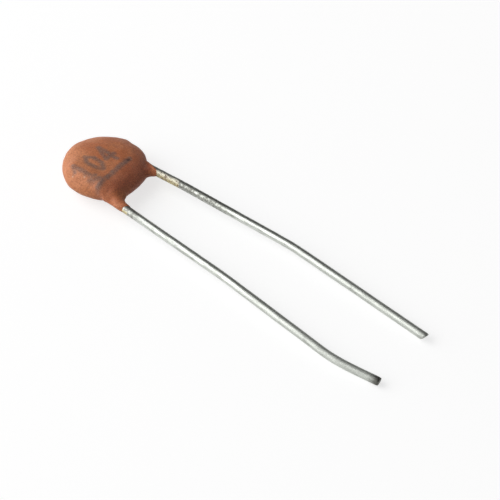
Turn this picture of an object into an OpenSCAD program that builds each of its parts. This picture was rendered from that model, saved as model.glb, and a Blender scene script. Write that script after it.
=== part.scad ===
// Radial ceramic disc capacitor: a soldered ceramic disc dipped in resin, on two long tinned
// leads. It lies on its side: the round body and the tips of both leads touch the surface.
// +X runs along the leads, +Y to the right lead, +Z up; the origin is under the middle.
// Each piece is drawn about the middle of the disc, with the disc flat, and then laid down.

/* [Ceramic element] */
// Diameter of the bare ceramic disc
ceramic_d = 4.6; // [4:0.1:8]
// Thickness of the bare ceramic disc
ceramic_t = 0.25; // [0.15:0.05:1]
// Bare ceramic left round each silvered face
electrode_margin = 0.1; // [0.05:0.05:0.3]
// Thickness of the silver on each face
electrode_t = 0.02; // [0.02:0.01:0.1]

/* [Resin coating] */
// Resin outside the edge of the ceramic disc
coat_rim = 0.7; // [0.5:0.05:1.2]
// Resin over the middle of each ceramic face
coat_face = 0.93; // [0.85:0.02:1.6]
// Fullness of the body's section, 2 for an ellipse and more for a fuller pebble
coat_fullness = 3; // [2:0.25:4]
// Resin round a lead where it leaves the body
neck_skin = 0.08; // [0.06:0.01:0.25]
// Resin round a lead where its neck ends
neck_end_skin = 0.03; // [0.02:0.01:0.06]
// Size of the hollow curves between the necks, and where the wires run up onto the ceramic
inner_blend = 0.8; // [0.3:0.05:1]
// Size of the hollow curves on the outer sides of the necks
outer_blend = 0.15; // [0.1:0.05:0.6]
// How far the neck on the left lead reaches past the front of the body
left_neck_run = 0.96; // [0.2:0.02:2]
// How far the neck on the right lead reaches past the front of the body
right_neck_run = 0.22; // [0.2:0.02:2]

/* [Leads] */
// Diameter of the lead wire
lead_d = 0.6; // [0.4:0.05:0.7]
// Distance from the middle of a wire to the edge of the ceramic, across the middle of the disc
lead_edge = 0.4; // [0.35:0.05:0.6]
// Angle by which each lead splays outward
lead_splay = 3.7; // [0:0.1:5]
// Length of wire behind the middle of the disc
lead_tail = 0.9; // [0.6:0.1:1.2]
// Slope of the step that brings each wire from its ceramic face to the middle plane
step_angle = 31; // [20:1:40]
// Inner radius of the two bends of that step
step_bend = 0.3; // [0.2:0.05:0.4]

/* [Left lead] */
// Distance along the left lead from the middle of the disc to its bow
left_bow_at = 13.6; // [8:0.1:16]
// Turn of the left lead at its bow, clockwise from above
left_bow_turn = 2.5; // [0.5:0.1:6]
// Distance along the left lead to the bend near its tip
left_bend_at = 23.8; // [18:0.2:24]
// Turn of the left lead at that bend, counterclockwise from above
left_bend_turn = 12.8; // [1:0.1:20]
// Length of the left lead from the middle of the disc
left_length = 27.3; // [26:0.2:40]

/* [Right lead] */
// Distance along the right lead from the middle of the disc to its bow
right_bow_at = 5.5; // [5:0.5:11]
// Turn of the right lead at its bow, clockwise from above
right_bow_turn = 1.9; // [0.5:0.1:6]
// Distance along the right lead to its bend
right_bend_at = 15.0; // [14:0.2:20]
// Turn of the right lead at that bend, clockwise from above
right_bend_turn = 5.9; // [1:0.1:15]
// Length of the right lead from the middle of the disc
right_length = 27.1; // [26:0.2:40]

/* [Bends of the open leads] */
// Radius of the slow bows
bow_radius = 60; // [20:5:80]
// Radius of the bends
bend_radius = 12; // [3:1:20]

/* [Solder] */
// Solder between a wire and the silver under it
solder_film = 0.02; // [0.01:0.01:0.1]
// Length of a solder joint along its wire
solder_length = 1.6; // [1:0.1:2]
// Solder round the wire at the middle of a joint
solder_crown = 0.16; // [0.06:0.02:0.2]
// Solder round the wire at the ends of a joint
solder_end = 0.04; // [0.02:0.01:0.06]

/* [Hidden] */

$fn = 64;
LEFT = -1;
RIGHT = 1;
UP = 1;
DOWN = -1;

lead_r = lead_d / 2;
ceramic_r = ceramic_d / 2;
electrode_r = ceramic_r - electrode_margin;
electrode_top = ceramic_t / 2 + electrode_t;
body_r = ceramic_r + coat_rim;
body_h = ceramic_t / 2 + coat_face;

// A lead's straight part lies on a line at this distance from the middle of the disc. The
// wire sits on its ceramic face up to the edge of the disc, then steps to the middle plane.
line_offset = ceramic_r - lead_edge;
seat_z = electrode_top + solder_film + lead_r;
edge_clearance = 0.15;
step_start = sqrt(pow(ceramic_r, 2) - pow(line_offset, 2)) + edge_clearance;
step_end = step_start + seat_z / tan(step_angle);

function unit(v) = v / norm(v);
function outward(side) = [-sin(lead_splay), side * cos(lead_splay), 0];
function heading(angle) = [cos(angle), sin(angle), 0];
function on_line(side, along, z = 0) =
    line_offset * outward(side) + along * heading(side * lead_splay) + [0, 0, z];

// Corner points of a lead, from its tail on the silver to its tip
function lead_points(side, face, bow_at, bow_turn, bend_at, bend_turn, length) =
    let(after_bow = side * lead_splay - bow_turn,
        after_bend = after_bow + bend_turn,
        bow = on_line(side, bow_at),
        bend = bow + (bend_at - bow_at) * heading(after_bow),
        tip = bend + (length - bend_at) * heading(after_bend))
    [on_line(side, -lead_tail, face * seat_z), on_line(side, step_start, face * seat_z),
     on_line(side, step_end), bow, bend, tip];

left_points = lead_points(LEFT, UP, left_bow_at, left_bow_turn,
                          left_bend_at, left_bend_turn, left_length);
right_points = lead_points(RIGHT, DOWN, right_bow_at, right_bow_turn,
                           right_bend_at, -right_bend_turn, right_length);

// The resin's surface is where a distance field is zero. The field joins the pebble-shaped
// body and a sleeve round each lead, and its soft union makes the hollow curves between them.
sleeve_r = lead_r + neck_skin;
neck_end_r = lead_r + neck_end_skin;
left_neck_end = body_r + left_neck_run;
right_neck_end = body_r + right_neck_run;

function soft_union(a, b, size) =
    let(overlap = max(size - abs(a - b), 0)) min(a, b) - pow(overlap, 2) / (4 * size);

function side_of(place) = place < 0 ? LEFT : RIGHT;
function blend_size(p) =
    let(side = side_of(p.y),
        across = p * outward(side) - line_offset,
        outer_share = min(1, max(0, (across + side * p.z + sleeve_r) / lead_d)))
    inner_blend + outer_share * (outer_blend - inner_blend);

function body_field(p) =
    let(out = norm([p.x, p.y]) / body_r,
        up = p.z / body_h,
        slope = norm([coat_fullness * pow(out, coat_fullness - 1) / body_r, 2 * up / body_h]))
    (pow(out, coat_fullness) + pow(up, 2) - 1) / max(slope, 0.1);

function stretch_field(p, a, b, radius_a, radius_b) =
    let(share = min(1, max(0, (p - a) * (b - a) / ((b - a) * (b - a)))))
    norm(p - a - share * (b - a)) - radius_a - share * (radius_b - radius_a);

function sleeve_field(p, points, neck_end) =
    min(stretch_field(p, points[0], points[1], sleeve_r, sleeve_r),
        stretch_field(p, points[1], points[2], sleeve_r, sleeve_r),
        stretch_field(p, points[2], neck_end, sleeve_r, neck_end_r));

function resin_field(p) =
    soft_union(body_field(p),
               p.y < 0 ? sleeve_field(p, left_points, on_line(LEFT, left_neck_end))
                       : sleeve_field(p, right_points, on_line(RIGHT, right_neck_end)),
               blend_size(p));

// Distance from a point inside the resin to its surface, along a direction: long steps until
// the point is outside, then halving.
function way_out(from, along, inside = 0, step = 0.1) =
    resin_field(from + (inside + step) * along) < 0
        ? way_out(from, along, inside + step, step)
        : halve(from, along, inside, inside + step);
function halve(from, along, inside, outside, rounds = 14) =
    let(middle = (inside + outside) / 2)
    rounds == 0 ? middle
        : resin_field(from + middle * along) < 0
            ? halve(from, along, middle, outside, rounds - 1)
            : halve(from, along, inside, middle, rounds - 1);

// The surface is lofted through closed sections along a hairpin line: down the left neck,
// round the far side of the disc and back along the right neck. A place on the hairpin is its
// distance from the hairpin's middle, below zero on the left. A section reaches outward to the
// rim, and inward to a place on the inner line: the rim between the necks, then the inner sides
// of the necks. Hairpin and inner line run level with each other from the front of the body on.
turn_length = line_offset * (90 - lead_splay) * PI / 180;
fan_length = turn_length + body_r;
corner_angle = asin((line_offset - sleeve_r) / body_r);
corner_at = body_r * cos(corner_angle);
rim_angle = corner_angle + lead_splay;
rim_length = body_r * rim_angle * PI / 180;
inner_share = (rim_length + body_r - corner_at) / fan_length;

function on_turn(place) = abs(place) < turn_length;
function turn_direction(place) = heading(180 - place / line_offset * 180 / PI);
function hairpin(place) =
    on_turn(place) ? line_offset * turn_direction(place)
                   : on_line(side_of(place), abs(place) - turn_length);
function on_inner_line(place) =
    let(way = abs(place) * inner_share, side = side_of(place))
    way < rim_length ? body_r * heading(side * rim_angle * way / rim_length)
                     : on_line(side, corner_at + way - rim_length) - sleeve_r * outward(side);
function outer_way(place) = on_turn(place) ? turn_direction(place) : outward(side_of(place));
function inner_way(place) =
    abs(place) < fan_length ? unit(on_inner_line(place) - hairpin(place))
                            : -outward(side_of(place));

// Shares of a section's reach, closer together towards the rounded edge
function shares(count) = [for (i = [1 : count]) sin(90 * i / count)];
outer_shares = shares(8);
inner_shares = shares(10);
function reversed(list) = [for (i = [len(list) - 1 : -1 : 0]) list[i]];

function skin_point(p, face) = p + [0, 0, face * way_out(p, [0, 0, face])];
function section(place) =
    let(middle = hairpin(place),
        outer = outer_way(place) * way_out(middle, outer_way(place)),
        inner = inner_way(place) * way_out(middle, inner_way(place)),
        plan = concat([for (s = reversed(outer_shares)) middle + s * outer], [middle],
                      [for (s = inner_shares) middle + s * inner]),
        last = len(plan) - 1)
    concat([plan[0]], [for (i = [1 : last - 1]) skin_point(plan[i], UP)],
           [plan[last]], [for (i = [last - 1 : -1 : 1]) skin_point(plan[i], DOWN)]);

section_spacing = 0.2;
function hairpin_places() =
    let(first = -turn_length - left_neck_end,
        last = turn_length + right_neck_end,
        count = ceil((last - first) / section_spacing))
    [for (i = [0 : count]) first + (last - first) * i / count];

module loft(sections) {
    around = len(sections[0]);
    last = len(sections) - 1;
    walls = [for (i = [0 : last - 1], j = [0 : around - 1])
                 let(a = i * around + j, b = i * around + (j + 1) % around)
                 each [[a, b, b + around], [a, b + around, a + around]]];
    ends = [[for (j = [around - 1 : -1 : 0]) j], [for (j = [0 : around - 1]) last * around + j]];
    polyhedron([for (section = sections) each section], concat(walls, ends), convexity = 6);
}

// At rest the part tips forward until the body's underside and the lead tips are level.
body_profile = [for (i = [0 : 200])
                    let(r = body_r * i / 200) [r, body_h * sqrt(1 - pow(r / body_r, coat_fullness))]];
function body_drop(tilt) = max([for (p = body_profile) p * [sin(tilt), cos(tilt)]]);
tip_x = max(left_points[5].x, right_points[5].x);
first_tilt = asin((body_h - lead_r) / tip_x);
rest_tilt = asin((body_drop(first_tilt) - lead_r * cos(first_tilt)) / tip_x);
all_y = [for (p = concat(left_points, right_points)) p.y];

module lie_down() {
    translate([(body_r - tip_x) / 2, -(min(all_y) + max(all_y)) / 2, body_drop(rest_tilt)])
        rotate([0, rest_tilt, 0]) children();
}

// Bend radii of a lead, at its corner points from the first to the last
lead_bends = [step_bend + lead_r, step_bend + lead_r, bow_radius, bend_radius];

// A round wire along corner points, with a true arc at each corner
module bent_wire(points) {
    last = len(points) - 1;
    ways = [for (i = [0 : last - 1]) unit(points[i + 1] - points[i])];
    turns = [for (i = [1 : last - 1]) acos(ways[i - 1] * ways[i])];
    cuts = [0, for (i = [0 : last - 2]) lead_bends[i] * tan(turns[i] / 2), 0];
    for (i = [0 : last - 1])
        translate(points[i] + cuts[i] * ways[i])
            rotate([0, acos(ways[i].z), atan2(ways[i].y, ways[i].x)])
                cylinder(r = lead_r, h = norm(points[i + 1] - points[i]) - cuts[i] - cuts[i + 1]);
    for (i = [1 : last - 1])
        translate(points[i] - cuts[i] * ways[i - 1])
            wire_bend(ways[i - 1], ways[i], lead_bends[i - 1], turns[i - 1]);
}

// A bend that starts at the origin along one direction and ends along another. It is a hair
// thinner than the straight wire and reaches a little way into it at both ends.
bend_thinning = 0.001;
bend_reach = 0.02;
module wire_bend(from, to, radius, turn) {
    side = unit(from * (from * to) - to);
    up = cross(side, from);
    reach = bend_reach / radius * 180 / PI;
    multmatrix([[side.x, from.x, up.x, 0],
                [side.y, from.y, up.y, 0],
                [side.z, from.z, up.z, 0],
                [0, 0, 0, 1]])
        translate([-radius, 0, 0])
            rotate_extrude(angle = turn + 2 * reach, start = -reach)
                translate([radius, 0]) circle(r = lead_r - bend_thinning);
}

// A spindle of solder round the seated wire, cut flat on the silver
module solder_bead(side, face) {
    crown_r = lead_r + solder_crown;
    end_r = lead_r + solder_end;
    inset = (pow(solder_length, 2) / (4 * (crown_r - end_r)) - crown_r - end_r) / 2;
    intersection() {
        translate(on_line(side, 0, face * seat_z))
            rotate([0, -90 * face, side * lead_splay])
                rotate_extrude()
                    intersection() {
                        translate([-inset, 0]) circle(r = inset + crown_r);
                        translate([0, -solder_length / 2]) square([crown_r, solder_length]);
                    }
        rotate([face == UP ? 0 : 180, 0, 0])
            translate([0, 0, electrode_top]) cylinder(r = body_r, h = 2 * seat_z);
    }
}

module electrode_blank(face)
    rotate([face == UP ? 0 : 180, 0, 0])
        translate([0, 0, ceramic_t / 2]) cylinder(r = electrode_r, h = electrode_t);

module ceramic_blank() cylinder(r = ceramic_r, h = ceramic_t, center = true);

module ceramic_disc() color("linen") lie_down() ceramic_blank();
module upper_electrode() color("gainsboro") lie_down() electrode_blank(UP);
module lower_electrode() color("gainsboro") lie_down() electrode_blank(DOWN);

module upper_solder() color("darkgray") lie_down()
    difference() {
        solder_bead(LEFT, UP);
        bent_wire(left_points);
    }

module lower_solder() color("darkgray") lie_down()
    difference() {
        solder_bead(RIGHT, DOWN);
        bent_wire(right_points);
    }

module left_lead() color("silver") lie_down() bent_wire(left_points);
module right_lead() color("silver") lie_down() bent_wire(right_points);

module coating() color("peru") lie_down()
    difference() {
        loft([for (place = hairpin_places()) section(place)]);
        ceramic_blank();
        electrode_blank(UP);
        electrode_blank(DOWN);
        solder_bead(LEFT, UP);
        solder_bead(RIGHT, DOWN);
        bent_wire(left_points);
        bent_wire(right_points);
    }

coating();
ceramic_disc();
upper_electrode();
lower_electrode();
upper_solder();
lower_solder();
left_lead();
right_lead();
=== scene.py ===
import functools
import math

import bpy
import numpy as np
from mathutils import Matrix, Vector


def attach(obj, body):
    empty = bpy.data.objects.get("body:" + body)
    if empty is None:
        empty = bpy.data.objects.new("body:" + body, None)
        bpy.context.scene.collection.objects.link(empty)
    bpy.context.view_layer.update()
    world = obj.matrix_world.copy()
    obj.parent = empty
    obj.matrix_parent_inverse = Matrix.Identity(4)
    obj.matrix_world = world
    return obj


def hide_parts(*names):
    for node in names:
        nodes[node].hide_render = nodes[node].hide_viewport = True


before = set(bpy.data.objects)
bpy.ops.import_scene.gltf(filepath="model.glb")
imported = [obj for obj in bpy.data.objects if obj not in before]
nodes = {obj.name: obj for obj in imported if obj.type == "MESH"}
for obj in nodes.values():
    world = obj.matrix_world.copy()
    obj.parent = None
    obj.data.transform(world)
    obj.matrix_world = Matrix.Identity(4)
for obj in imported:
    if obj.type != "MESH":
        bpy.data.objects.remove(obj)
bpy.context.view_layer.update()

# The looks of a ceramic disc capacitor: the dipped resin body, the two tinned leads, and the
# finish of the pieces inside. Shapes are worked out in millimetres about the middle of the
# ceramic disc, with the disc flat, and then laid down as the part rests.

MM = 0.001
rng = np.random.default_rng(7)

# ---------------------------------------------------------------- driving dimensions
# In mm and degrees, as in the part's source

CERAMIC_D = 4.6
CERAMIC_T = 0.25
ELECTRODE_T = 0.02
SOLDER_FILM = 0.02
COAT_RIM = 0.7
COAT_FACE = 0.93
COAT_FULLNESS = 3
NECK_SKIN = 0.08
NECK_END_SKIN = 0.03
INNER_BLEND = 0.8
OUTER_BLEND = 0.15
LEAD_D = 0.6
LEAD_EDGE = 0.4
EDGE_CLEARANCE = 0.15
LEAD_SPLAY = 3.7
LEAD_TAIL = 0.9
STEP_ANGLE = 31
STEP_BEND = 0.3
BOW_RADIUS = 60
BEND_RADIUS = 12
LEFT, RIGHT, UP, DOWN = -1, 1, 1, -1

LEAD_R = LEAD_D / 2
CERAMIC_R = CERAMIC_D / 2
BODY_R = CERAMIC_R + COAT_RIM
BODY_H = CERAMIC_T / 2 + COAT_FACE
SLEEVE_R = LEAD_R + NECK_SKIN
LINE_OFFSET = CERAMIC_R - LEAD_EDGE
SEAT_Z = CERAMIC_T / 2 + ELECTRODE_T + SOLDER_FILM + LEAD_R
STEP_START = math.sqrt(CERAMIC_R**2 - LINE_OFFSET**2) + EDGE_CLEARANCE
STEP_END = STEP_START + SEAT_Z / math.tan(math.radians(STEP_ANGLE))


def heading(angle):
    """Unit vectors in the plane of the disc, at angles in degrees."""
    turn = np.radians(angle)
    return np.stack([np.cos(turn), np.sin(turn), np.zeros_like(turn)], -1)


def unit(v):
    return v / np.linalg.norm(v, axis=-1, keepdims=True)


def outward(side):
    """The way from the middle line to a lead's own line, across the lead."""
    return heading(side * (90 + LEAD_SPLAY))


def on_line(side, along, z=0.0):
    """The place on a lead's own line, at a distance along it from the middle of the disc."""
    along = np.asarray(along, float)[..., None]
    return LINE_OFFSET * outward(side) + along * heading(side * LEAD_SPLAY) + [0, 0, z]


class Lead:
    """The corner points, the resin neck and the cut tip of one lead.

    Angles round a lead are from outward, through up. The neck is thicker on its full side. Its
    tongue is how far it runs past its end, and swing is how much more it does so on TONGUE_SIDE.
    The cut's slopes are across the wire, and up it.
    """

    TONGUE_SIDE = math.radians(170)

    def __init__(self, side, face, bow_at, bow_turn, bend_at, bend_turn, length, neck_run,
                 full_side, fullness, tongue_run, swing, cut_slope):
        after_bow = side * LEAD_SPLAY - bow_turn
        bow = on_line(side, bow_at)
        bend = bow + (bend_at - bow_at) * heading(after_bow)
        tip = bend + (length - bend_at) * heading(after_bow + bend_turn)
        self.side = side
        self.neck_end = BODY_R + neck_run
        self.bare_length = length - self.neck_end
        self.full_side = math.radians(full_side)
        self.fullness = fullness
        self.tongue_run = tongue_run
        self.swing = swing
        self.cut_slope = np.array(cut_slope)
        self.points = np.array([on_line(side, -LEAD_TAIL, face * SEAT_Z),
                                on_line(side, STEP_START, face * SEAT_Z),
                                on_line(side, STEP_END), bow, bend, tip])
        self.bend_radii = [STEP_BEND + LEAD_R, STEP_BEND + LEAD_R, BOW_RADIUS, BEND_RADIUS]

    def tongue(self, around):
        return self.tongue_run + self.swing * np.cos(around - self.TONGUE_SIDE)


# The left neck is full on its upper inner side and ends in an even ring. The right one is full
# on its inner side, where its tongue runs on, and leaves the wire's outer side bare.
left_lead = Lead(LEFT, UP, bow_at=13.6, bow_turn=2.5, bend_at=23.8, bend_turn=12.8, length=27.3,
                 neck_run=0.96, full_side=140, fullness=1.0, tongue_run=0.23, swing=0.06,
                 cut_slope=(0.05, -0.15))
right_lead = Lead(RIGHT, DOWN, bow_at=5.5, bow_turn=1.9, bend_at=15.0, bend_turn=-5.9, length=27.1,
                  neck_run=0.22, full_side=175, fullness=0.7, tongue_run=-0.25, swing=0.45,
                  cut_slope=(-0.02, -0.7))

# ---------------------------------------------------------------- from the disc to the row frame

# The part rests on the underside of its body and the tips of its leads.
TIP_X = max(left_lead.points[-1][0], right_lead.points[-1][0])
ALL_Y = np.concatenate([left_lead.points[:, 1], right_lead.points[:, 1]])
profile_r = np.linspace(0, BODY_R, 201)
profile_z = BODY_H * np.sqrt(1 - (profile_r / BODY_R) ** COAT_FULLNESS)


def body_drop(tilt):
    """How far the tilted body reaches below the middle of the disc."""
    return (profile_r * math.sin(tilt) + profile_z * math.cos(tilt)).max()


first_tilt = math.asin((BODY_H - LEAD_R) / TIP_X)
REST_TILT = math.asin((body_drop(first_tilt) - LEAD_R * math.cos(first_tilt)) / TIP_X)
REST_PLACE = np.array([(BODY_R - TIP_X) / 2, -(ALL_Y.min() + ALL_Y.max()) / 2,
                       body_drop(REST_TILT)])


def lie_down(points):
    """Points about the middle of the flat disc, in mm, as places in the row frame, in metres."""
    c, s = math.cos(REST_TILT), math.sin(REST_TILT)
    turned = points @ np.array([[c, 0, -s], [0, 1, 0], [s, 0, c]])
    return (turned + REST_PLACE) * MM


# ---------------------------------------------------------------- the resin's surface

FEATHER = 0.3  # length over which the resin thins out to nothing on the wire
FEATHER_DEPTH = 0.06  # how far the resin's surface then dips into the wire
FEATHER_REACH = 1.5  # how far that dip goes on, as a share of the feather's length
NECK_LEAN = 0.45  # how much thicker a neck is on its full side, as a share
BLEND_ACROSS, BLEND_UP = 0.8, 1.2  # how a place's side and height count in the size of a blend
LEAST_SLOPE = 0.1  # keeps the body's field finite near its middle


def waves(count, longest, shortest):
    """Random plane waves that make a smooth unevenness: their wave numbers and phases."""
    lengths = np.exp(rng.uniform(np.log(shortest), np.log(longest), count))
    numbers = unit(rng.normal(size=(count, 3))) * (2 * np.pi / lengths)[:, None]
    return numbers, rng.uniform(0, 2 * np.pi, count)


def unevenness(p, wave_set):
    """The sum of the waves at each point, about 1 in size."""
    numbers, phases = wave_set
    return np.sin(p @ numbers.T + phases).sum(-1) / math.sqrt(len(phases))


body_waves = waves(14, longest=3.2, shortest=1.1)
ripple_waves = waves(16, longest=1.1, shortest=0.5)
neck_waves = waves(8, longest=1.0, shortest=0.4)
BODY_UNEVEN = 0.01
RIPPLE = 0.011
NECK_UNEVEN = 0.06

# Shallow swellings and hollows of the dipped body: place, radius and height, in mm. The leads
# leave it towards +X.
SWELLINGS = [
    ((-2.65, -0.2, 0.35), 0.95, 0.095),  # far end
    ((-2.2, 1.9, 0.0), 1.1, -0.02),
    ((1.2, 2.7, 0.25), 0.7, 0.045),  # right rim
    ((-0.5, 2.9, 0.3), 0.35, 0.045),
    ((-1.6, -2.3, 0.0), 1.2, -0.04),  # left rim
    ((0.6, -2.9, 0.0), 0.9, -0.05),
    ((3.0, 0.3, 0.0), 0.9, -0.08),  # between the necks
    ((3.1, -1.3, 0.0), 0.44, 0.17),  # inside the left neck
    ((2.3, -1.4, 0.55), 0.72, 0.2),  # over the left neck's root
    ((2.3, 2.4, 0.15), 0.4, -0.04),  # notch outside the right neck
    ((2.7, -2.4, 0.2), 0.25, -0.06),  # notch outside the left neck
    ((3.4, -2.46, 0.05), 0.25, 0.05),  # the left neck's outer side
]


def soft_union(a, b, size):
    """The lesser of two fields, with a hollow curve where they meet."""
    overlap = np.maximum(size - np.abs(a - b), 0)
    return np.minimum(a, b) - overlap**2 / (4 * size)


def blend_size(p):
    """The size of the hollow curves: wide over and between the necks, tight outside them."""
    side = np.where(p[:, 1] < 0, LEFT, RIGHT)
    across = (p[:, 0] * outward(RIGHT)[0] + side * p[:, 1] * outward(RIGHT)[1]) - LINE_OFFSET
    share = np.clip((BLEND_ACROSS * across + BLEND_UP * side * p[:, 2]) / LEAD_R, 0, 1)
    return INNER_BLEND + (OUTER_BLEND - INNER_BLEND) * share


def body_field(p):
    """The pebble over the ceramic."""
    out = np.hypot(p[:, 0], p[:, 1]) / BODY_R
    up = p[:, 2] / BODY_H
    slope = np.hypot(COAT_FULLNESS * out ** (COAT_FULLNESS - 1) / BODY_R, 2 * up / BODY_H)
    return (out**COAT_FULLNESS + up**2 - 1) / np.maximum(slope, LEAST_SLOPE)


def stretch_field(p, a, b, radius):
    """A straight stretch of sleeve."""
    share = np.clip((p - a) @ (b - a) / ((b - a) @ (b - a)), 0, 1)
    return np.linalg.norm(p - a - share[:, None] * (b - a), axis=1) - radius


def neck_field(p, lead):
    """A sleeve on the straight lead that tapers, and ends in an uneven tongue."""
    start, way, side_way = lead.points[2], heading(lead.side * LEAD_SPLAY), outward(lead.side)
    along = (p - start) @ way
    off = p - start - np.maximum(along, 0)[:, None] * way
    around = np.arctan2(off[:, 2], off @ side_way)
    run = lead.neck_end - STEP_END
    end = run + lead.tongue(around) + NECK_UNEVEN * unevenness(p, neck_waves)
    skin = NECK_SKIN + (NECK_END_SKIN - NECK_SKIN) * np.clip(along / run, 0, 1)
    skin = skin * lead.fullness * (1 + NECK_LEAN * np.cos(around - lead.full_side))
    past = np.clip((along - end + FEATHER) / FEATHER, 0, FEATHER_REACH)
    skin = skin - (NECK_END_SKIN + FEATHER_DEPTH) * past**2
    return np.linalg.norm(off, axis=1) - LEAD_R - skin


def sleeve_field(p, lead):
    """The sleeve on a lead: over the silver, along the step, and the neck."""
    a, b, c = lead.points[:3]
    radius = LEAD_R + NECK_SKIN * lead.fullness
    return np.minimum.reduce([stretch_field(p, a, b, radius), stretch_field(p, b, c, radius),
                              neck_field(p, lead)])


def resin_field(p):
    """Below zero inside the resin. The resin's surface is where it is zero."""
    sleeves = np.where(p[:, 1] < 0, sleeve_field(p, left_lead), sleeve_field(p, right_lead))
    field = soft_union(body_field(p), sleeves, blend_size(p))
    field += BODY_UNEVEN * unevenness(p, body_waves) + RIPPLE * unevenness(p, ripple_waves)
    for place, radius, height in SWELLINGS:
        field -= height * np.exp(-(((p - place) / radius) ** 2).sum(1))
    return field


def way_out(start, way, step=0.1, rounds=16):
    """How far each point inside the resin is from its surface, along its way."""
    inside = np.zeros(len(start))
    going = np.ones(len(start), bool)
    while going.any():
        ahead = resin_field(start[going] + (inside[going] + step)[:, None] * way[going]) < 0
        inside[np.flatnonzero(going)[ahead]] += step
        going[np.flatnonzero(going)[~ahead]] = False
    outside = inside + step
    for _ in range(rounds):
        middle = (inside + outside) / 2
        within = resin_field(start + middle[:, None] * way) < 0
        inside, outside = np.where(within, middle, inside), np.where(within, outside, middle)
    return (inside + outside) / 2


# The surface is lofted along a hairpin line: down the left neck, round the far side of the disc
# and back along the right neck. A place is its distance from the hairpin's middle. The ways to
# the inner side aim at a line just outside the resin, so that they don't cross inside it.
AIM_R = BODY_R + 0.25
AIM_OFF = SLEEVE_R + 0.3
FAN_END = BODY_R + 0.35
TURN_LENGTH = LINE_OFFSET * math.radians(90 - LEAD_SPLAY)
FAN_LENGTH = TURN_LENGTH + FAN_END
CORNER_ANGLE = math.asin((LINE_OFFSET - AIM_OFF) / AIM_R)
RIM_ANGLE = math.degrees(CORNER_ANGLE) + LEAD_SPLAY
RIM_LENGTH = AIM_R * math.radians(RIM_ANGLE)
CORNER_AT = AIM_R * math.cos(CORNER_ANGLE)
INNER_SHARE = (RIM_LENGTH + FAN_END - CORNER_AT) / FAN_LENGTH
OVERRUN = 0.35  # how far the mesh goes on past the necks' ends, inside the wires


def hairpin(place):
    """The place on the hairpin line, and the ways from it to the outer rim and the inner line."""
    lead = left_lead if place < 0 else right_lead
    along = abs(place) - TURN_LENGTH
    if along < 0:
        outer = heading(180 - math.degrees(place / LINE_OFFSET))
        middle = LINE_OFFSET * outer
    else:
        outer = outward(lead.side)
        middle = on_line(lead.side, along)
    way = abs(place) * INNER_SHARE
    if way < RIM_LENGTH:
        target = AIM_R * heading(lead.side * RIM_ANGLE * way / RIM_LENGTH)
    else:
        target = (on_line(lead.side, CORNER_AT + way - RIM_LENGTH)
                  - AIM_OFF * outward(lead.side))
    inner = unit(target - middle) if abs(place) < FAN_LENGTH else -outer
    return middle, outer, inner


def eased(count):
    """Shares from 0 to 1, closer together towards 1."""
    return np.sin(np.linspace(0, 1, count) * np.pi / 2)


def coating_mesh(spacing=0.045, outer_count=26, inner_count=34):
    """Vertices about the disc's middle, in mm, and faces of the coating's outer surface."""
    first = -(TURN_LENGTH + left_lead.neck_end + OVERRUN)
    last = TURN_LENGTH + right_lead.neck_end + OVERRUN
    places = np.linspace(first, last, int((last - first) / spacing))
    middle, outer, inner = (np.array(x) for x in zip(*(hairpin(p) for p in places)))
    outer = outer * way_out(middle, outer)[:, None]
    inner = inner * way_out(middle, inner)[:, None]
    shares = np.concatenate([-eased(outer_count)[:0:-1], eased(inner_count)])[:, None]
    plan = middle[:, None] + np.where(shares < 0, -outer[:, None] * shares, inner[:, None] * shares)
    across = plan.shape[1]
    core = plan[:, 1:-1].reshape(-1, 3)
    up = np.tile([0.0, 0, 1], (len(core), 1))
    top = (core + up * way_out(core, up)[:, None]).reshape(len(places), across - 2, 3)
    bottom = (core - up * way_out(core, -up)[:, None]).reshape(len(places), across - 2, 3)
    rings = np.concatenate([plan[:, :1], top, plan[:, -1:], bottom[:, ::-1]], 1)
    return rings.reshape(-1, 3), ring_faces(len(places), rings.shape[1])


def ring_faces(count, around):
    """Quads between neighbouring closed rings, and one face at each end."""
    i, j = np.meshgrid(np.arange(count - 1), np.arange(around), indexing="ij")
    k = (j + 1) % around
    quads = np.stack([i * around + j, i * around + k, (i + 1) * around + k,
                      (i + 1) * around + j], -1).reshape(-1, 4)
    ends = [list(range(around))[::-1], list(range((count - 1) * around, count * around))]
    return quads.tolist() + ends


def new_piece(name, points, faces, unbent, replaced, slot):
    """A smooth mesh piece. unbent holds each point's place for the material's patterns, in mm."""
    mesh = bpy.data.meshes.new(name)
    mesh.from_pydata(lie_down(points), [], faces)
    mesh.attributes.new("unbent", "FLOAT_VECTOR", "POINT").data.foreach_set(
        "vector", np.asarray(unbent, np.float32).ravel())
    mesh.shade_smooth()
    piece = bpy.data.objects.new(name, mesh)
    bpy.context.scene.collection.objects.link(piece)
    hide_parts(replaced)
    return piece


coating_points, coating_faces = coating_mesh()
coating = new_piece("resin_coating", coating_points, coating_faces, coating_points,
                    "coating", "resin")

# ---------------------------------------------------------------- the leads

RING_POINTS = 40
wobble_waves = waves(6, longest=9.0, shortest=3.0)
WOBBLE = 0.008
WOBBLE_START, WOBBLE_RISE, WOBBLE_FALL = 5, 4, 2  # where it starts, and the lengths of its fades
THICKNESS_UNEVEN = 0.006
END_ROUND = 0.03
CUT_LENGTH = 1  # the length of wire over which the cut's slope sets in
CUT_BACK = 0.7  # how far the whole cut is set back, as a share of its slope


def arc(corner, before, after, radius, step):
    """Points of the true arc that rounds a corner, and the ways along it."""
    turn = math.acos(np.clip(before @ after, -1, 1))
    cut = radius * math.tan(turn / 2)
    side = unit(after - before * (before @ after))
    count = max(3, int(radius * turn / step) + 1)
    angle = np.linspace(0, turn, count)[:, None]
    centre = corner - cut * before + radius * side
    return (centre + radius * (np.sin(angle) * before - np.cos(angle) * side),
            np.cos(angle) * before + np.sin(angle) * side)


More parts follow.
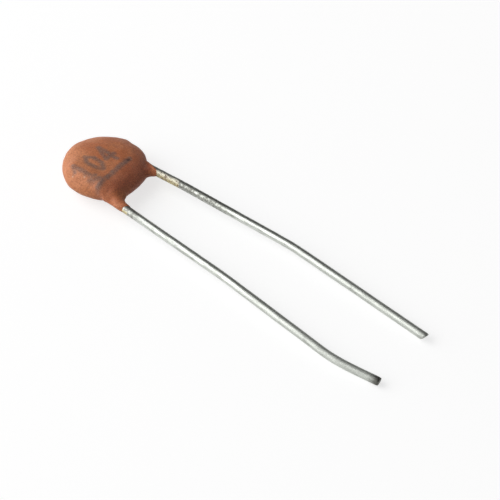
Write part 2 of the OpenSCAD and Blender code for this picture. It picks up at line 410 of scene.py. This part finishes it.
def centre_line(lead, step=0.12):
    """Points and ways along a lead, with a true arc at each corner."""
    ways = unit(np.diff(lead.points, axis=0))
    arcs = [arc(lead.points[i + 1], ways[i], ways[i + 1], radius, step)
            for i, radius in enumerate(lead.bend_radii)]
    starts = [lead.points[0]] + [a[0][-1] for a in arcs]
    stops = [a[0][0] for a in arcs] + [lead.points[-1]]
    points, tangents = [], []
    for i, (start, stop) in enumerate(zip(starts, stops)):
        count = max(2, int(np.linalg.norm(stop - start) / step))
        share = np.linspace(0, 1, count, endpoint=i == len(ways) - 1)[:, None]
        points.append(start + share * (stop - start))
        tangents.append(np.tile(ways[i], (count, 1)))
        if i < len(arcs):
            points.append(arcs[i][0][:-1])
            tangents.append(arcs[i][1][:-1])
    return np.concatenate(points), np.concatenate(tangents)


def lead_mesh(lead):
    """A wire with a slightly wandering line, snipped off at a slope at its tip. Its unbent
    places hold the length of bare wire so far, from the neck's end, and the place around it."""
    line, way = centre_line(lead)
    along = np.r_[0, np.cumsum(np.linalg.norm(np.diff(line, axis=0), axis=1))]
    length = along[-1]
    up = unit(np.cross(way, unit(np.cross([0, 0, 1.0], way))))
    across = np.cross(up, way)
    loose = (np.clip((along - WOBBLE_START) / WOBBLE_RISE, 0, 1)
             * np.clip((length - along) / WOBBLE_FALL, 0, 1))
    shift = WOBBLE * unevenness(np.c_[along, along * 0, along * 0], wobble_waves) * loose
    line = line + shift[:, None] * across
    uneven = unevenness(np.c_[along * 0, along, along * 0], wobble_waves)
    radius = LEAD_R * (1 + THICKNESS_UNEVEN * uneven)
    radius[-1] -= END_ROUND
    angle = np.linspace(0, 2 * np.pi, RING_POINTS, endpoint=False)
    ring = np.stack([np.cos(angle), np.sin(angle)], 1)
    rings = (line[:, None] + radius[:, None, None]
             * (ring[None, :, :1] * across[:, None] + ring[None, :, 1:] * up[:, None]))
    cut_off = LEAD_R * (ring @ lead.cut_slope + CUT_BACK * np.hypot(*lead.cut_slope))
    cut_off = np.clip((along - length + CUT_LENGTH) / CUT_LENGTH, 0, 1)[:, None] * cut_off
    rings = rings - cut_off[:, :, None] * way[:, None]
    bare = along - np.interp(lead.neck_end, line @ heading(lead.side * LEAD_SPLAY), along)
    unbent = np.concatenate([np.broadcast_to(bare[:, None, None], rings.shape[:2] + (1,)),
                             np.broadcast_to(LEAD_R * ring, rings.shape[:2] + (2,))], 2)
    return rings.reshape(-1, 3), ring_faces(len(line), RING_POINTS), unbent.reshape(-1, 3)


left_wire = new_piece("left_wire", *lead_mesh(left_lead), "left_lead", "tinned_wire")
right_wire = new_piece("right_wire", *lead_mesh(right_lead), "right_lead", "tinned_wire")

for piece in (coating, left_wire, right_wire):
    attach(piece, "root")

# ---------------------------------------------------------------- material nodes


class Nodes:
    """Short names for the node kinds that the materials use."""

    def __init__(self, name, material=True):
        self.owner = bpy.data.materials.new(name) if material else bpy.data.worlds.new(name)
        self.owner.use_nodes = True
        self.tree = self.owner.node_tree
        self.tree.nodes.clear()

    def add(self, kind, **settings):
        """A new node, with settings such as operation."""
        node = self.tree.nodes.new("ShaderNode" + kind)
        for key, value in settings.items():
            setattr(node, key, value)
        return node

    def put(self, socket, value):
        """Link a socket to another's output, or set its value."""
        if isinstance(value, bpy.types.NodeSocket):
            self.tree.links.new(value, socket)
        elif isinstance(value, tuple) and socket.type == "RGBA" and len(value) == 3:
            socket.default_value = (*value, 1)
        else:
            socket.default_value = value

    def place(self):
        """Where a point is on the unbent piece, in mm."""
        return self.add("Attribute", attribute_name="unbent").outputs["Vector"]

    def separate(self, vector, axis):
        node = self.add("SeparateXYZ")
        self.put(node.inputs[0], vector)
        return node.outputs[axis]

    def math(self, operation, a, b, clamp=False):
        node = self.add("Math", operation=operation, use_clamp=clamp)
        self.put(node.inputs[0], a)
        self.put(node.inputs[1], b)
        return node.outputs[0]

    def joined(self, operation, values):
        """All of the values joined into one, as by MINIMUM."""
        return functools.reduce(lambda a, b: self.math(operation, a, b), values)

    def swing(self, pattern, size):
        """A pattern of 0 to 1 as a swing about zero."""
        return self.math("MULTIPLY", self.math("SUBTRACT", pattern, 0.5), size)

    def vector(self, operation, a, b=None, scale=None):
        node = self.add("VectorMath", operation=operation)
        self.put(node.inputs[0], a)
        if b is not None:
            self.put(node.inputs[1], b)
        if scale is not None:
            self.put(node.inputs["Scale"], scale)
        return node.outputs["Value" if operation in ("DOT_PRODUCT", "LENGTH") else "Vector"]

    def noise(self, vector, scale, detail, roughness=0.5, stretch=(1, 1, 1), seed=0.0):
        if stretch != (1, 1, 1) or seed:
            moved = self.vector("MULTIPLY", vector, stretch)
            vector = self.vector("ADD", moved, (seed, seed * 0.7, -seed))
        node = self.add("TexNoise")
        self.put(node.inputs["Vector"], vector)
        self.put(node.inputs["Scale"], scale)
        self.put(node.inputs["Detail"], detail)
        self.put(node.inputs["Roughness"], roughness)
        return node.outputs["Fac"]

    def ramp(self, value, low, high, to_low=0.0, to_high=1.0):
        """A smooth step from to_low to to_high, between low and high."""
        node = self.add("MapRange", interpolation_type="SMOOTHSTEP")
        self.put(node.inputs["Value"], value)
        for name, x in zip(("From Min", "From Max", "To Min", "To Max"),
                           (low, high, to_low, to_high)):
            self.put(node.inputs[name], x)
        return node.outputs["Result"]

    def mix(self, share, a, b):
        node = self.add("Mix", data_type="RGBA")
        self.put(node.inputs["Factor"], share)
        self.put(node.inputs["A"], a)
        self.put(node.inputs["B"], b)
        return next(o for o in node.outputs if o.type == "RGBA")

    def bump(self, height, distance, strength, normal=None):
        node = self.add("Bump")
        self.put(node.inputs["Height"], height)
        self.put(node.inputs["Distance"], distance)
        self.put(node.inputs["Strength"], strength)
        if normal is not None:
            self.put(node.inputs["Normal"], normal)
        return node.outputs["Normal"]

    def surface(self, **values):
        shader = self.add("BsdfPrincipled")
        for name, value in values.items():
            self.put(shader.inputs[name.replace("_", " ")], value)
        output = self.add("OutputMaterial")
        self.put(output.inputs["Surface"], shader.outputs[0])
        return self.owner


def srgb(r, g, b):
    """A colour given as 0 to 255 display values, in linear light."""
    shown = np.array([r, g, b]) / 255
    linear = np.where(shown <= 0.04045, shown / 12.92, ((shown + 0.055) / 1.055) ** 2.4)
    return tuple(linear.tolist())


# ---------------------------------------------------------------- the print

# The print reads upright with the leads hanging down: right is +Y of the disc, up is -X.
DIGIT_H = 1.75
DIGIT_W = 0.85
DIGIT_STEP = 1.2
PRINT_MIDDLE_Y = -0.9
PRINT_BASE_X = 0.72
STROKE = 0.17
STROKE_INK = 0.9
BAR_ENDS = (1.52, -2.35), (1.33, 1.1)
BAR_STROKE = 0.19
BAR_INK = 1.0
SMUDGE_ENDS = (0.85, -2.2), (1.2, -1.85)
SMUDGE_R = 0.26
SMUDGE_INK = 0.8
RAGGED = 0.2  # how far the ink's edges wander
LEAST_INK = 0.6  # what is left of the ink where it is worn most
PRINT_FADES = 0.0, 0.4  # heights between which the ink ends, at the body's rim
BLOTS = [(1.33, 0.95, 0.93)]
BLOT_R = 0.22
# Pale spots on the lit lower rim: chips in the coating, and painted glints
CHIPS_AND_GLINTS = [(0.23, -2.33, 0.9), (-0.6, -2.6, 0.6), (0.87, -2.6, 0.5)]
CHIP_AND_GLINT_R = 0.09

# Strokes of plain figures on a unit cell: x to the right, y up
FIGURES = {
    "1": [((0.2, 0.78), (0.55, 1.0)), ((0.55, 1.0), (0.55, 0.0)), ((0.25, 0.0), (0.85, 0.0))],
    "0": [((0.5, 1.0), (0.12, 0.72)), ((0.12, 0.72), (0.12, 0.28)), ((0.12, 0.28), (0.5, 0.0)),
          ((0.5, 0.0), (0.88, 0.28)), ((0.88, 0.28), (0.88, 0.72)), ((0.88, 0.72), (0.5, 1.0))],
    "4": [((0.68, 0.0), (0.68, 1.0)), ((0.68, 1.0), (0.05, 0.3)), ((0.05, 0.3), (1.0, 0.3))],
}


def print_strokes(figures="104"):
    """Each stroke of the figures as two ends in the disc's plane, in mm."""
    strokes = []
    for i, figure in enumerate(figures):
        left = PRINT_MIDDLE_Y + (i - (len(figures) - 1) / 2) * DIGIT_STEP - DIGIT_W / 2
        for ends in FIGURES[figure]:
            strokes.append([(PRINT_BASE_X - DIGIT_H * y, left + DIGIT_W * x) for x, y in ends])
    return strokes


def distance_to_stroke(n, place, start, end):
    """How far a place is from the line between a stroke's two ends."""
    first = np.array([*start, 0.0])
    along = np.array([*end, 0.0]) - first
    off = n.vector("SUBTRACT", place, tuple(first))
    share = n.math("MULTIPLY", n.vector("DOT_PRODUCT", off, tuple(along)),
                   float(1 / (along @ along)), clamp=True)
    back = n.vector("SCALE", tuple(along), scale=share)
    return n.vector("LENGTH", n.vector("SUBTRACT", off, back))


def ink_mask(n, place):
    """How much ink there is, 0 to 1: the figures and the bar under them, worn and smudged."""
    flat = n.vector("MULTIPLY", place, (1, 1, 0))
    shift = n.swing(n.noise(flat, 4.0, detail=3, seed=3.1), RAGGED)
    figures = n.joined("MINIMUM", [distance_to_stroke(n, flat, *ends) for ends in print_strokes()])
    covers = [n.ramp(n.math("ADD", far, shift), radius * 0.3, radius * 1.7, ink, 0)
              for far, radius, ink in (
                  (figures, STROKE, STROKE_INK),
                  (distance_to_stroke(n, flat, *BAR_ENDS), BAR_STROKE, BAR_INK),
                  (distance_to_stroke(n, flat, *SMUDGE_ENDS), SMUDGE_R, SMUDGE_INK))]
    wear = n.noise(flat, 2.0, detail=5, roughness=0.7, seed=9.4)
    worn = n.math("MULTIPLY", n.joined("MAXIMUM", covers), n.ramp(wear, 0.34, 0.56, LEAST_INK, 1))
    return n.math("MULTIPLY", worn, n.ramp(n.separate(place, "Z"), *PRINT_FADES))


def spots(n, place, places, radius):
    """1 at each of some small spots, falling to 0 at their uneven edges."""
    uneven = n.math("MULTIPLY", n.noise(place, 9.0, detail=2, seed=41.0), radius)
    distances = [n.vector("LENGTH", n.vector("SUBTRACT", place, spot)) for spot in places]
    return n.joined("MAXIMUM", [n.ramp(n.math("ADD", far, uneven), radius * 0.7, radius * 1.5, 1, 0)
                                for far in distances])


# ---------------------------------------------------------------- the resin's material

RESIN_DEEP, RESIN_LIGHT = srgb(204, 118, 72), srgb(222, 143, 96)
RESIN_SHADE_TINT = srgb(190, 106, 88)  # painted shade: a rosy tint for the hue of the shade at the front of the body, and a little on the necks
RESIN_MOTTLE = srgb(180, 101, 64)
RESIN_GRAIN = srgb(236, 166, 118)
RESIN_SPECK = srgb(146, 86, 66)
RESIN_DUST = srgb(168, 130, 118)
INK_DARK, INK_THIN = srgb(98, 78, 72), srgb(150, 128, 118)
BLOT_TINT, CHIP_AND_GLINT_TINT = srgb(86, 58, 52), srgb(226, 196, 172)

PAINTED_LIGHT_SIDE = (-0.35, -0.9, 0)  # painted light: the body is paler towards this side, where light falls, and darker on the opposite side
PAINTED_LIGHT_STRENGTH = 0.09
SHADED_FRONT_WANDER = 1.2  # how far the edge of the shaded front wanders, with its painted shade tint and denser specks
# How much of the painted shade tint lies on the rim and on the necks
SHADE_TINT_ON_RIM, SHADE_TINT_ON_NECKS = 0.6, 0.15
# Share of the dark specks behind and at the front. They are denser at the front, where shade falls,
# as painted shade
SPECKS_BEHIND, SPECKS_IN_SHADED_FRONT = 0.5, 0.85
MOTTLE_COVER, GRAIN_COVER, DUST_COVER = 0.6, 0.5, 0.4
INK_COVER, BLOT_COVER, CHIP_AND_GLINT_COVER = 0.8, 0.85, 0.7
RESIN_SMOOTH, RESIN_ROUGH = 0.46, 0.6
DENT_DEPTH, GRAIN_DEPTH = 0.03 * MM, 0.012 * MM


def resin_material():
    """Orange-brown resin, mottled, grainy and specked, with dust, worn ink, and pale spots that are
    chips and painted glints. Painted light makes its lit side paler and its opposite side darker.
    Where shade falls at its front, it has a rosy painted shade tint and denser dark specks.
    """
    n = Nodes("dipped_resin")
    place = n.place()
    tone = n.noise(place, 0.9, detail=3, seed=1.7)
    reach = n.vector("LENGTH", place)
    # Painted light: the body is paler towards the lit side and darker away from it, fading out on
    # the necks
    painted_light = n.ramp(reach, BODY_R - 0.2, BODY_R + 0.5, PAINTED_LIGHT_STRENGTH, 0)
    painted_light = n.math("MULTIPLY", n.vector("DOT_PRODUCT", place, PAINTED_LIGHT_SIDE), painted_light)
    colour = n.mix(n.ramp(n.math("ADD", tone, painted_light), 0.3, 0.7), RESIN_DEEP, RESIN_LIGHT)
    # Painted shade: a rosy tint over the front of the body, where shade falls
    shaded_front = n.math("ADD", n.separate(place, "X"), n.math("MULTIPLY", tone, SHADED_FRONT_WANDER))
    shade_tint = n.ramp(reach, BODY_R - 0.05, BODY_R + 0.4, SHADE_TINT_ON_RIM, SHADE_TINT_ON_NECKS)
    colour = n.mix(n.math("MULTIPLY", n.ramp(shaded_front, 1.4, 3.2), shade_tint), colour, RESIN_SHADE_TINT)

    mottle = n.noise(place, 7.0, detail=4, roughness=0.65, seed=5.2)
    colour = n.mix(n.ramp(mottle, 0.42, 0.66, 0, MOTTLE_COVER), colour, RESIN_MOTTLE)
    grain = n.noise(place, 13.0, detail=3, roughness=0.7, seed=8.8)
    colour = n.mix(n.ramp(grain, 0.52, 0.68, 0, GRAIN_COVER), colour, RESIN_GRAIN)
    specks = n.ramp(n.noise(place, 14.0, detail=3, roughness=0.7, seed=31.0), 0.5, 0.66)
    # The specks are grain of the resin, made denser at the shaded front as painted shade
    cover = n.ramp(shaded_front, 1.6, 3.0, SPECKS_BEHIND, SPECKS_IN_SHADED_FRONT)
    colour = n.mix(n.math("MULTIPLY", specks, cover), colour, RESIN_SPECK)
    dust = n.noise(place, 2.2, detail=5, roughness=0.7, seed=12.0)
    colour = n.mix(n.ramp(dust, 0.6, 0.85, 0, DUST_COVER), colour, RESIN_DUST)

    ink = n.mix(n.ramp(grain, 0.4, 0.6), INK_DARK, INK_THIN)
    # The print's ink and blot, then the pale spots, which are chips and painted glints
    for mask, cover, tint in ((ink_mask(n, place), INK_COVER, ink),
                              (spots(n, place, BLOTS, BLOT_R), BLOT_COVER, BLOT_TINT),
                              (spots(n, place, CHIPS_AND_GLINTS, CHIP_AND_GLINT_R), CHIP_AND_GLINT_COVER, CHIP_AND_GLINT_TINT)):
        colour = n.mix(n.math("MULTIPLY", mask, cover), colour, tint)

    dents = n.noise(place, 3.0, detail=2, seed=2.0)
    grains = n.noise(place, 14.0, detail=3, roughness=0.6, seed=6.0)
    normal = n.bump(grains, GRAIN_DEPTH, 0.7, normal=n.bump(dents, DENT_DEPTH, 0.5))
    rough = n.ramp(mottle, 0.3, 0.7, RESIN_SMOOTH, RESIN_ROUGH)
    return n.surface(Base_Color=colour, Roughness=rough, Specular_IOR_Level=0.3,
                     Sheen_Weight=0.12, Sheen_Roughness=0.5, Normal=normal)


# ---------------------------------------------------------------- the other materials

TIN_PALE, TIN_STREAK = srgb(211, 214, 208), srgb(173, 176, 170)
TIN_PATCH = srgb(138, 141, 135)
TIN_MOTTLE = srgb(118, 117, 110)
# Dark at the cut tip: dirt, with painted shade over the last mm before it
TIP_DIRT_AND_SHADE = srgb(74, 72, 66)
FLUX_PALE, FLUX_DEEP = srgb(252, 248, 226), srgb(226, 212, 160)
FLUX_SPECK = srgb(116, 72, 50)

# Lengths of bare wire, in mm, between which the streaks fade and the tin grows dull
STREAKS_FADE = 8, 15
TIN_DULLS = 9, 19
STREAKS_LEFT = 0.3  # share of the streaks that is left past their fade
DULL_RISE = 0.16
PATCH_COVER, BLOT_SHARE = 0.5, 0.75
FLUX_SIDE = (0, -0.8, -0.6)  # the crust lies on the wires' lower side
FLUX_SOFT, EDGE_SOFT = 0.1, 0.2
FLUX_THIN = 0.6  # the least that the crust covers
FLUX_WANDER, EDGE_WANDER, DIRT_AND_SHADE_WANDER = 0.9, 0.3, 0.5  # how far the edges of the stains, and of the painted shade at the tip, wander
DIRT_AND_SHADE_START, DIRT_AND_SHADE_FULL = 0.95, 0.1  # before the tip, over which the dirt and painted shade set in
STAIN_ROUGH = 0.5
METAL_LOST = 0.8  # under the crust
STREAK_DEPTH, WAVE_DEPTH, CRUST_DEPTH = 0.006 * MM, 0.01 * MM, 0.03 * MM
INNER_DEPTH = 0.01 * MM


def tin_material(name, dullness, flux_length, flux_edge, mottled_length, bare_length, tip_dirt_and_shade):
    """Dull tinned wire with streaks along it. Where it leaves the resin it has a cream crust of
    flux with brown specks, then a mottled stretch. Its cut tip is dirty, and the stretch before it
    is darkened as painted shade."""
    n = Nodes(name)
    place = n.place()
    along = n.separate(place, "X")
    streaks = n.noise(place, 9.0, detail=4, roughness=0.6, stretch=(0.12, 1, 1), seed=4.0)
    streaks = n.math("ADD", n.swing(streaks, n.ramp(along, *STREAKS_FADE, 1, STREAKS_LEFT)), 0.5)
    patches = n.noise(place, 2.2, detail=4, roughness=0.65, stretch=(0.45, 1, 1), seed=7.5)
    colour = n.mix(n.ramp(streaks, 0.35, 0.68), TIN_PALE, TIN_STREAK)
    colour = n.mix(n.ramp(patches, 0.52, 0.72, 0, PATCH_COVER), colour, TIN_PATCH)

    blots = n.noise(place, 5.0, detail=4, roughness=0.7, seed=15.0)
    mottled = n.ramp(along, mottled_length * 0.6, mottled_length, 1, 0)
    mottled = n.math("MULTIPLY", mottled, n.ramp(blots, 0.38, 0.58, 0.25, 1))
    colour = n.mix(n.math("MULTIPLY", mottled, BLOT_SHARE), colour, TIN_MOTTLE)

    reach = n.math("ADD", along, n.swing(blots, FLUX_WANDER))
    crust = n.ramp(reach, flux_length - FLUX_SOFT, flux_length + FLUX_SOFT, 1, 0)
    crust = n.math("MULTIPLY", crust, n.ramp(blots, 0.4, 0.65, 1, FLUX_THIN))
    lower = n.vector("DOT_PRODUCT", place, FLUX_SIDE)
    edge = n.math("ADD", lower, n.swing(streaks, EDGE_WANDER))
    crust = n.math("MULTIPLY", crust, n.ramp(edge, (flux_edge - EDGE_SOFT) * LEAD_R,
                                             (flux_edge + EDGE_SOFT) * LEAD_R))
    specks = n.noise(place, 7.0, detail=3, roughness=0.6, seed=22.0)
    flux = n.mix(n.ramp(lower, -0.1 * LEAD_R, 0.8 * LEAD_R), FLUX_PALE, FLUX_DEEP)
    flux = n.mix(n.ramp(specks, 0.55, 0.6), flux, FLUX_SPECK)
    colour = n.mix(crust, colour, flux)

    # Dirt at the cut tip, and painted shade on the stretch before it, where the end turns away from
    # the light
    dirt_and_shade = n.ramp(n.math("ADD", along, n.swing(blots, DIRT_AND_SHADE_WANDER)),
                  bare_length - DIRT_AND_SHADE_START, bare_length - DIRT_AND_SHADE_FULL, 0, tip_dirt_and_shade)
    colour = n.mix(dirt_and_shade, colour, TIP_DIRT_AND_SHADE)

    rough = n.math("ADD", n.ramp(streaks, 0.3, 0.7, dullness, dullness + DULL_RISE),
                   n.ramp(along, *TIN_DULLS, 0, DULL_RISE))
    dull = n.joined("MAXIMUM", [crust, dirt_and_shade, mottled])
    rough = n.math("MAXIMUM", rough, n.math("MULTIPLY", dull, STAIN_ROUGH))
    metal = n.math("SUBTRACT", 1.0, n.math("MULTIPLY", crust, METAL_LOST))
    waves_along = n.noise(place, 1.3, detail=3, stretch=(0.5, 1, 1), seed=1.0)
    normal = n.bump(waves_along, WAVE_DEPTH, 0.25, normal=n.bump(streaks, STREAK_DEPTH, 0.7))
    normal = n.bump(n.math("MULTIPLY", crust, specks), CRUST_DEPTH, 0.8, normal=normal)
    return n.surface(Base_Color=colour, Metallic=metal, Roughness=rough, Normal=normal)


def plain_material(name, dark, light, scale, **values):
    """A material for the pieces inside: two tones mixed by noise, with a fine bump."""
    n = Nodes(name)
    place = n.add("TexCoord").outputs["Object"]
    tone = n.noise(place, scale, detail=4)
    return n.surface(Base_Color=n.mix(n.ramp(tone, 0.35, 0.65), dark, light),
                     Normal=n.bump(tone, INNER_DEPTH, 0.5), **values)


def dress(thing, material):
    """Give a piece or a CAD node its only material."""
    thing.data.materials.clear()
    thing.data.materials.append(material)


dress(coating, resin_material())
dress(left_wire, tin_material("tinned_left_wire", dullness=0.32, flux_length=0.45, flux_edge=0.4,
                              mottled_length=1.6, bare_length=left_lead.bare_length,
                              tip_dirt_and_shade=0.85))
dress(right_wire, tin_material("tinned_right_wire", dullness=0.24, flux_length=1.95,
                               flux_edge=-0.45, mottled_length=8.0,
                               bare_length=right_lead.bare_length, tip_dirt_and_shade=0.2))
dress(nodes["ceramic_disc"], plain_material("fired_ceramic", srgb(204, 192, 170),
                                            srgb(222, 212, 194), scale=2500, Roughness=0.8))
silver = plain_material("fired_silver", srgb(196, 196, 190), srgb(222, 222, 218),
                        scale=6000, Metallic=1.0, Roughness=0.5)
solder = plain_material("solder", srgb(160, 161, 160), srgb(196, 196, 194),
                        scale=4000, Metallic=1.0, Roughness=0.35)
for name in ("upper_electrode", "lower_electrode"):
    dress(nodes[name], silver)
for name in ("upper_solder", "lower_solder"):
    dress(nodes[name], solder)

# ---------------------------------------------------------------- stage, light and camera

FLOOR_GREY = 0.45
FLOOR_GLOW = 0.72  # what the backdrop's rays see on top of the floor's own grey
FLOOR_REACH = 2.0

# Light comes in from one side, as from a wide window; the far side of the room is dim. A band at
# the horizon is white to the rays that show the backdrop, as the floor is.
WINDOW_SIDE = (-0.8, -0.6, 0.0)
WINDOW_EDGE = 0.38
WINDOW_SOFT = 0.16
WINDOW_LEVEL = 0.8
ROOM_DIM = 0.096
HORIZON_TOP = 0.22
HORIZON_LIGHT = 0.64

KEY_WAY = (-0.74, -0.48, 0.47)
KEY_DISTANCE = 0.3
KEY_SIZE = 0.4
KEY_POWER = 0.92


def sees_backdrop(n):
    """1 for the rays that show the pale backdrop: the camera's and those in metal and glass."""
    path = n.add("LightPath")
    mirrored = n.math("MAXIMUM", path.outputs["Is Glossy Ray"],
                      path.outputs["Is Transmission Ray"])
    return n.math("MAXIMUM", path.outputs["Is Camera Ray"], mirrored)


def add_floor():
    n = Nodes("pale_floor")
    shader = n.add("BsdfDiffuse")
    n.put(shader.inputs["Color"], (FLOOR_GREY, FLOOR_GREY, FLOOR_GREY))
    glow = n.add("Emission")
    n.put(glow.inputs["Strength"], n.math("MULTIPLY", sees_backdrop(n), FLOOR_GLOW))
    both = n.add("AddShader")
    n.put(both.inputs[0], shader.outputs[0])
    n.put(both.inputs[1], glow.outputs[0])
    n.put(n.add("OutputMaterial").inputs["Surface"], both.outputs[0])
    mesh = bpy.data.meshes.new("floor")
    corners = [(x * FLOOR_REACH, y * FLOOR_REACH, 0)
               for x, y in ((-1, -1), (1, -1), (1, 1), (-1, 1))]
    mesh.from_pydata(corners, [], [(0, 1, 2, 3)])
    floor = bpy.data.objects.new("floor", mesh)
    bpy.context.scene.collection.objects.link(floor)
    dress(floor, n.owner)


def light_world():
    n = Nodes("studio", material=False)
    direction = n.add("TexCoord").outputs["Generated"]
    side = n.vector("DOT_PRODUCT", direction, WINDOW_SIDE)
    window = n.ramp(side, WINDOW_EDGE - WINDOW_SOFT, WINDOW_EDGE + WINDOW_SOFT,
                    ROOM_DIM, WINDOW_LEVEL)
    horizon = n.ramp(n.separate(direction, "Z"), HORIZON_TOP / 2, HORIZON_TOP, 1, 0)
    horizon = n.math("MULTIPLY", horizon, n.ramp(sees_backdrop(n), 0, 1, HORIZON_LIGHT, 1))
    background = n.add("Background")
    n.put(background.inputs["Color"], (1, 1, 1))
    n.put(background.inputs["Strength"], n.math("MAXIMUM", window, horizon))
    n.put(n.add("OutputWorld").inputs["Surface"], background.outputs[0])
    bpy.context.scene.world = n.owner


def add_key_light():
    lamp = bpy.data.lights.new("key", "AREA")
    lamp.size = KEY_SIZE
    lamp.energy = KEY_POWER
    key = bpy.data.objects.new("key", lamp)
    away = Vector(KEY_WAY).normalized()
    disc_middle = lie_down(np.zeros((1, 3)))[0]
    key.location = Vector(disc_middle) + away * KEY_DISTANCE
    key.rotation_euler = away.to_track_quat("Z", "Y").to_euler()
    bpy.context.scene.collection.objects.link(key)


# The camera looks down on the part, at a point on the floor beside its middle.
CAMERA_AZIMUTH = 40
CAMERA_ELEVATION = 43
CAMERA_DISTANCE = 0.19
CAMERA_NEAREST = 0.01
SENSOR_MM = 36
PICTURE_PX = 500
PX_PER_MM = 14.7
AIM = Vector((0.347, 1.63, 0)) * MM


def add_camera():
    turn, rise = math.radians(CAMERA_AZIMUTH), math.radians(CAMERA_ELEVATION)
    back = Vector((math.sin(turn) * math.cos(rise), -math.cos(turn) * math.cos(rise),
                   math.sin(rise)))
    lens = bpy.data.cameras.new("camera")
    lens.sensor_width = SENSOR_MM
    lens.lens = SENSOR_MM * PX_PER_MM / MM * CAMERA_DISTANCE / PICTURE_PX
    lens.clip_start = CAMERA_NEAREST
    camera = bpy.data.objects.new("camera", lens)
    camera.location = AIM + back * CAMERA_DISTANCE
    camera.rotation_euler = back.to_track_quat("Z", "Y").to_euler()
    bpy.context.scene.collection.objects.link(camera)
    bpy.context.scene.camera = camera


add_floor()
light_world()
add_key_light()
add_camera()
bpy.context.scene.view_settings.view_transform = "Standard"
